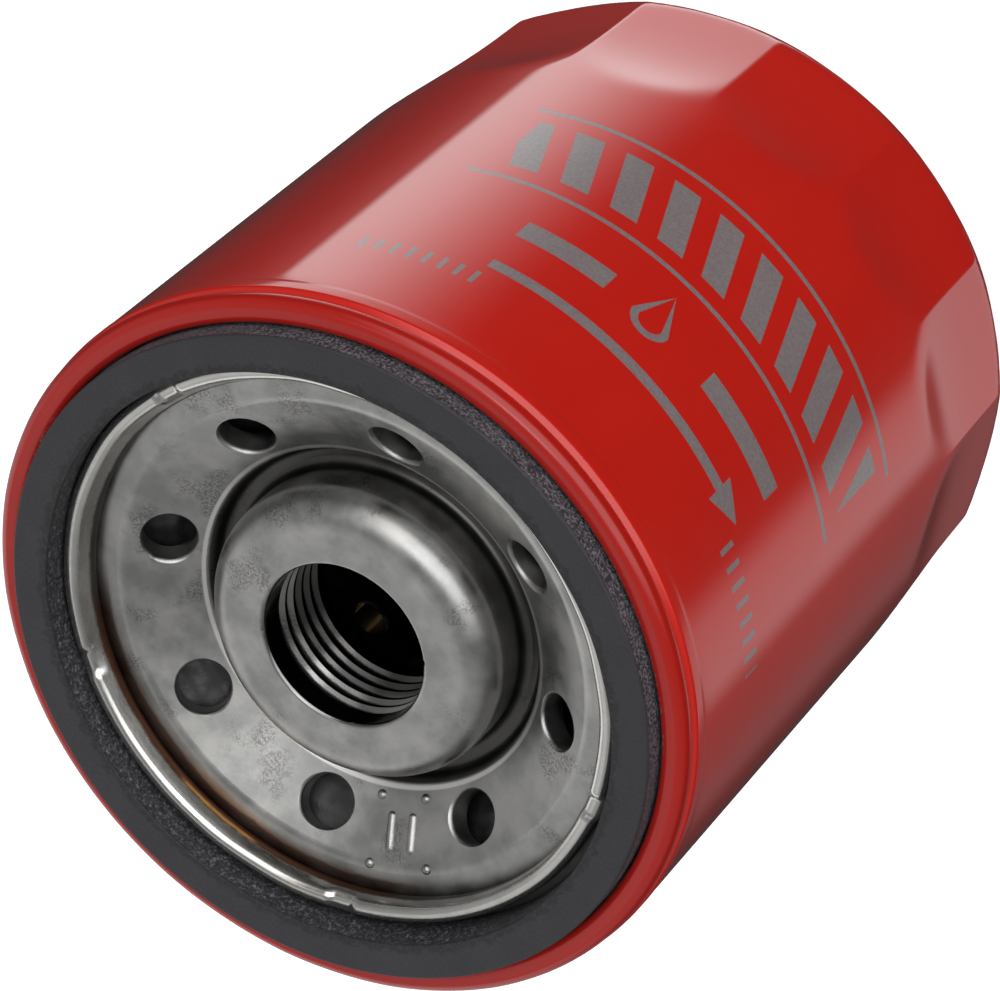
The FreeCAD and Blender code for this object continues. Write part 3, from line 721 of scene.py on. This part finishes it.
def gasket_piece():
    """Moulded square ring with slightly uneven rounded edges."""
    outline = [
        (GASKET_INNER, GASKET_FLOOR, 0.3 * MM),
        (GASKET_OUTER, GASKET_FLOOR, 0.6 * MM),
        (GASKET_OUTER, GASKET_TOP, 0.3 * MM),
        (GASKET_INNER, GASKET_TOP, 0.15 * MM),
    ]

    def bend(angle, radius, height):
        inner = np.clip((GASKET_OUTER - radius) / (GASKET_OUTER - GASKET_INNER), 0, 1)
        radius = radius + (waves(angle, 5, 2, 20) * 0.03 + 0.03) * MM * inner
        top = np.clip((height - GASKET_FLOOR) / (GASKET_TOP - GASKET_FLOOR), 0, 1)
        return radius, height - np.abs(waves(angle, 6, 2, 9)) * 0.03 * MM * top

    return lathe("gasket_ring", rounded(outline, gap=0.6 * MM), 540, bend=bend)


def crimp_share(angle, half_width, ramp):
    """1 across each crimp's middle, falling to 0 over a short ramp."""
    step = 2 * math.pi / CRIMPS
    off = np.abs((angle - math.radians(CRIMP_PHASE) + step / 2) % step - step / 2) * LIP_RADIUS
    share = np.clip((half_width + ramp - off) / ramp, 0, 1)
    return share**2 * (3 - 2 * share)


def lid_piece():
    """Thin lid: hook in the seam, channel under the gasket, and a rolled lip with five crimps."""
    leg = SEAM_INNER + 1.9 * SHEET
    hook_top = SEAM_TOP - 1.6 * SHEET
    floor = bottom_of("sealing_gasket") - 0.3 * MM
    wall = LIP_WALL + SHEET / 2
    middle = LIP_TOP - SHEET / 2
    outline = [
        (LIP_RADIUS + 0.1 * MM, middle - 0.8 * MM),
        (LIP_RADIUS + 0.1 * MM, middle, 0.58 * MM),
        (LIP_RADIUS - 1.1 * MM, middle, 0.58 * MM),
        (wall, floor, 0.7 * MM),
        (leg, floor, 0.7 * MM),
        (leg, hook_top, 0.4 * MM),
        (leg + 2 * SHEET, hook_top, 0.4 * MM),
        (leg + 2 * SHEET, hook_top - 0.7 * MM),
    ]

    def bend(angle, radius, height):
        in_lip = (radius < GASKET_INNER + 0.5 * MM) * 1.0
        rise = np.clip((height - floor - 0.6 * MM) / (1.6 * MM), 0, 1) * in_lip
        crown = np.clip((height - middle + 0.9 * MM) / (0.8 * MM), 0, 1) * in_lip
        outer = np.clip((radius - LIP_RADIUS + 1.1 * MM) / (1.2 * MM), 0, 1)
        crimp = crimp_share(angle, 0.9 * MM, 1.0 * MM)
        off_centre = 0.42 * np.cos(angle) - 0.05
        ripple = 0.03 * waves(angle, 8, 4, 30)
        pushed = crimp * (0.25 + 0.25 * outer)
        moved = radius + (rise * (off_centre + ripple) + crown * pushed) * MM
        moved = np.where(in_lip > 0, np.minimum(moved, GASKET_INNER - 0.28 * MM), moved)
        return moved, height - crown * crimp * (0.25 + 0.4 * outer) * MM

    piece = lathe("lid_ring", rounded(outline, closed=False, gap=0.5 * MM), 900, closed=False, bend=bend)
    thicken(piece, SHEET * 0.9, offset=0.0)
    return piece


def sealant_piece():
    """Bead of compound squeezed under the seam's groove."""
    low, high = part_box("seam_sealant")
    inner = high.x - 0.75 * MM
    outline = [
        (inner, low.z, 0.2 * MM),
        (high.x, low.z, 0.2 * MM),
        (high.x, high.z, 0.3 * MM),
        (inner, high.z, 0.3 * MM),
    ]

    def bend(angle, radius, height):
        top = (height - low.z) / (high.z - low.z)
        return radius, height - (waves(angle, 12, 5, 60) * 0.12 + 0.2) * MM * np.clip(top, 0, 1) ** 2

    return lathe("sealant_bead", rounded(outline, gap=0.4 * MM), 360, bend=bend)


def valve_piece():
    """Anti-drain valve: ribbed bead, thin cone and a lip that lies on the plate."""
    low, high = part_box("antidrain_valve")
    bead_inner, bead_outer = 12.6 * MM, 18.6 * MM
    bead_top = low.z + 2.45 * MM
    lip = high.x
    outline = [
        (bead_inner, low.z, 0.4 * MM),
        (bead_outer + 0.45 * MM, low.z, 0.8 * MM),
        (lip - 0.2 * MM, high.z - 1.0 * MM, 0.4 * MM),
        (lip, high.z - 0.9 * MM, 0.1 * MM),
        (lip - 0.1 * MM, high.z - 0.05 * MM, 0.2 * MM),
        (lip - 1.3 * MM, high.z - 0.05 * MM, 0.3 * MM),
        (bead_outer + 0.9 * MM, bead_top - 0.7 * MM, 0.6 * MM),
        (bead_outer, bead_top - 0.05 * MM, 0.3 * MM),
        (bead_inner, bead_top - 0.05 * MM, 0.4 * MM),
    ]

    def bend(angle, radius, height):
        on_cone = (radius > bead_outer + 1.2 * MM) & (radius < lip - 1.5 * MM)
        rib = np.cos((radius - bead_outer) / MM * 2 * math.pi / 1.6)
        return radius, height - np.where(on_cone, (1 - rib) * 0.05 * MM, 0)

    piece = lathe("valve_membrane", rounded(outline, gap=0.25 * MM), 300, bend=bend)
    return piece, bead_top, high.z


def paper_piece():
    """Pleated paper as one continuous zigzag band with rounded folds."""
    low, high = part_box("filter_media")
    pleats, per_pleat, levels = 45, 32, 10
    thickness = 0.5 * MM
    outer = high.x - thickness
    inner = 16.2 * MM + thickness
    turn = np.arange(pleats * per_pleat) / per_pleat
    eased = turn + 0.115 * np.sin(4 * math.pi * turn) / math.pi
    sharpness = 0.985
    wave = np.arcsin(sharpness * np.cos(2 * math.pi * eased)) / math.asin(sharpness)
    radius = (outer + inner) / 2 + (outer - inner) / 2 * wave
    angle = 2 * math.pi * eased / pleats
    height = np.linspace(low.z + thickness / 2, high.z - thickness / 2, levels)
    ring = np.stack((radius * np.cos(angle), radius * np.sin(angle)), -1)
    vertices = np.empty((levels, len(ring), 3))
    vertices[:, :, :2] = ring[None]
    vertices[:, :, 2] = height[:, None]
    faces = grid_faces(levels, len(ring), False, True)
    piece = new_piece("pleated_paper", vertices.reshape(-1, 3), faces, crease=180.0)
    thicken(piece, thickness * 0.8, offset=0.0)
    return piece


def potting_piece(name, node):
    """Disc of compound with a wavy meniscus at its outer edge."""
    low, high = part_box(node)
    inner, outer = 15.2 * MM, high.x
    inset = 0.05 * MM
    outline = [
        (inner, low.z + inset, 0.2 * MM),
        (outer, low.z + inset, 0.3 * MM),
        (outer, high.z - inset, 0.3 * MM),
        (inner, high.z - inset, 0.2 * MM),
    ]

    def bend(angle, radius, height):
        return radius - np.abs(waves(angle, 15, 20, 90)) * 0.25 * MM * (radius > outer - 2 * MM), height

    return lathe(name, rounded(outline, gap=1.2 * MM), 360, bend=bend)


def washer_piece():
    """Rubber washer with rounded edges."""
    low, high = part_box("bypass_seal")
    inner = 1.5 * MM
    outline = [
        (inner, low.z, 0.25 * MM),
        (high.x, low.z, 0.3 * MM),
        (high.x, high.z, 0.3 * MM),
        (inner, high.z, 0.25 * MM),
    ]
    return lathe("seal_washer", rounded(outline), 96)


def coil_piece(name, node, wire_radius, coil_radius, turns):
    """Round wire spring over the whole height of its CAD node."""
    low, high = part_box(node)
    return wire_coil(
        name, spring_path(coil_radius, wire_radius, low.z, high.z, turns), wire_radius
    ), low.z, high.z


# ---------------------------------------------------------------- the object


def build_visible():
    """The pieces seen from outside."""
    stand_for(can_piece(), "can_shell", red_paint(), "can")
    stand_for(gasket_piece(), "sealing_gasket", gasket_rubber(), "can")
    stand_for(lid_piece(), "gasket_retainer", lid_steel(), "can")
    stand_for(sealant_piece(), "seam_sealant", seam_compound(), "can")
    dress(NODES["base_plate"], plate_steel())


def build_inside():
    """The element, the valves and the springs."""
    rubber = black_rubber()
    wire = spring_wire()
    valve, bead_top, lip_top = valve_piece()
    stand_for(valve, "antidrain_valve", rubber)
    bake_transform(valve)
    stand_for(paper_piece(), "filter_media", pleat_paper(), "element")
    potting = cured_potting()
    for node in ("inlet_potting", "dome_potting"):
        stand_for(potting_piece(node.replace("potting", "compound"), node), node, potting, "element")
    stand_for(washer_piece(), "bypass_seal", rubber, "poppet")
    spring, low, high = coil_piece(
        "hold_down_coil", "hold_down_spring", 0.9 * MM, 13.5 * MM, 3.75
    )
    stand_for(spring, "hold_down_spring", wire)
    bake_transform(spring)
    spring, low, high = coil_piece("bypass_coil", "bypass_spring", 0.4 * MM, 4.8 * MM, 4.5)
    stand_for(spring, "bypass_spring", wire)
    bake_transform(spring)
    caps = pressed_steel("tinned_steel", 176, 3)
    small = pressed_steel("valve_steel", 164)
    dark = pressed_steel("tube_steel", 118)
    for node in ("inlet_end_cap", "dome_end_cap"):
        dress(NODES[node], caps)
    for node in ("bypass_housing", "bypass_keeper", "bypass_poppet", "bypass_stem", "media_clip"):
        dress(NODES[node], small)
    dress(NODES["center_tube"], dark)


# ---------------------------------------------------------------- studio


def build_floor():
    """Pale floor under the closed end. It faces up only, and mirrors don't see it."""
    half = 3.0
    level = CAN_BOTTOM - 0.0005
    corners = [(-half, -half, level), (half, -half, level), (half, half, level), (-half, half, level)]
    mesh = bpy.data.meshes.new("floor")
    mesh.from_pydata(corners, [], [(0, 1, 2, 3)])
    floor = bpy.data.objects.new("floor", mesh)
    bpy.context.scene.collection.objects.link(floor)
    material = bpy.data.materials.new("pale_floor")
    material.use_nodes = True
    wiring = Wiring(material.node_tree)
    wiring.tree.nodes.remove(wiring.tree.nodes["Principled BSDF"])
    diffuse = wiring.add("ShaderNodeBsdfDiffuse", {"Color": (0.8, 0.8, 0.8, 1)}).outputs[0]
    glow = wiring.add("ShaderNodeEmission", {"Color": (1, 1, 1, 1), "Strength": 0.7}).outputs[0]
    lit = wiring.add("ShaderNodeAddShader", {0: diffuse, 1: glow}).outputs[0]
    clear = wiring.add("ShaderNodeBsdfTransparent", {}).outputs[0]
    backfacing = wiring.add("ShaderNodeNewGeometry", {}).outputs["Backfacing"]
    surface = wiring.add("ShaderNodeMixShader", {0: backfacing, 1: lit, 2: clear}).outputs[0]
    wiring.join(wiring.tree.nodes["Material Output"].inputs["Surface"], surface)
    mesh.materials.append(material)
    floor.visible_glossy = False
    floor.visible_diffuse = False
    floor.visible_shadow = False


# Soft lights: azimuths where each one starts, is full, stops being full and ends, the same
# for its elevations, and its strength
LIGHTS = (
    ((212, 240, 305, 335), (-5, 15, 52, 74), 2.1),
    ((258, 274, 292, 306), (48, 57, 67, 76), 2.6),
    ((-52, 4, 12, 16), (-85, -72, -48, -34), 1.9),
    ((166, 177, 194, 209), (-80, -68, -48, -36), 0.6),
    ((120, 140, 185, 205), (-70, -60, -45, -30), 0.1),
    ((40, 70, 110, 140), (-40, -25, 20, 40), 0.8),
    ((300, 318, 342, 358), (45, 56, 68, 80), 0.7),
    ((50, 75, 105, 130), (38, 46, 56, 66), 0.3),
)
SKY_FRONT = 0.18
SKY_BACK = 0.42
GROUND = 0.04


def build_world():
    """Pale dome over a dark floor, with soft-edged lights, and white where the camera sees past."""
    world = bpy.data.worlds.new("studio")
    world.use_nodes = True
    bpy.context.scene.world = world
    wiring = Wiring(world.node_tree)
    direction = wiring.add("ShaderNodeTexCoord", {}).outputs["Generated"]
    height = wiring.dot(direction, (0, 0, 1))
    elevation = wiring.math("DEGREES", wiring.math("ARCSINE", height))
    sky = wiring.smooth(wiring.dot(direction, (0, 1, 0)), -0.5, 0.5, SKY_FRONT, SKY_BACK)
    light = wiring.smooth(height, -0.25, 0.35, GROUND, sky)
    for azimuths, elevations, strength in LIGHTS:
        middle = math.radians((azimuths[1] + azimuths[2]) / 2)
        ahead = wiring.dot(direction, (math.cos(middle), math.sin(middle), 0))
        beside = wiring.dot(direction, (-math.sin(middle), math.cos(middle), 0))
        bearing = wiring.math("DEGREES", wiring.math("ARCTAN2", beside, ahead))
        bearing = wiring.total(bearing, math.degrees(middle))
        shape = wiring.product(
            wiring.smooth(bearing, azimuths[0], azimuths[1], 0.0, strength),
            wiring.smooth(bearing, azimuths[3], azimuths[2]),
            wiring.smooth(elevation, elevations[0], elevations[1]),
            wiring.smooth(elevation, elevations[3], elevations[2]),
        )
        light = wiring.total(light, shape)
    background = wiring.tree.nodes["Background"]
    seen = wiring.add("ShaderNodeLightPath", {}).outputs["Is Camera Ray"]
    white = wiring.add("ShaderNodeBackground", {"Color": (1, 1, 1, 1), "Strength": 1.0}).outputs[0]
    background.inputs["Color"].default_value = (1, 1, 1, 1)
    wiring.join(background.inputs["Strength"], light)
    surface = wiring.add(
        "ShaderNodeMixShader", {0: seen, 1: background.outputs[0], 2: white}
    ).outputs[0]
    wiring.join(wiring.tree.nodes["World Output"].inputs["Surface"], surface)


# Camera: where it looks, from how far, how far down, and its turn about the line of sight
CAMERA_TARGET = Vector((0.0, 0.0, -36.7 * MM))
CAMERA_DISTANCE = 466.0 * MM
CAMERA_PITCH = 49.74
CAMERA_ROLL = 133.65
CAMERA_LENS = 165.0


def build_camera():
    pitch = math.radians(CAMERA_PITCH)
    roll = math.radians(CAMERA_ROLL)
    back = Vector((0.0, -math.cos(pitch), math.sin(pitch)))
    level_right = Vector((1.0, 0.0, 0.0))
    level_up = back.cross(level_right)
    right = level_right * math.cos(roll) - level_up * math.sin(roll)
    up = level_up * math.cos(roll) + level_right * math.sin(roll)
    camera = bpy.data.objects.new("camera", bpy.data.cameras.new("camera"))
    bpy.context.scene.collection.objects.link(camera)
    camera.data.lens = CAMERA_LENS
    camera.data.clip_start = 0.01
    turn = Matrix((right, up, back)).transposed().to_4x4()
    camera.matrix_world = Matrix.Translation(CAMERA_TARGET + back * CAMERA_DISTANCE) @ turn
    bpy.context.scene.camera = camera


build_visible()
build_inside()
build_floor()
build_world()
build_camera()
bpy.context.scene.view_settings.view_transform = "Standard"
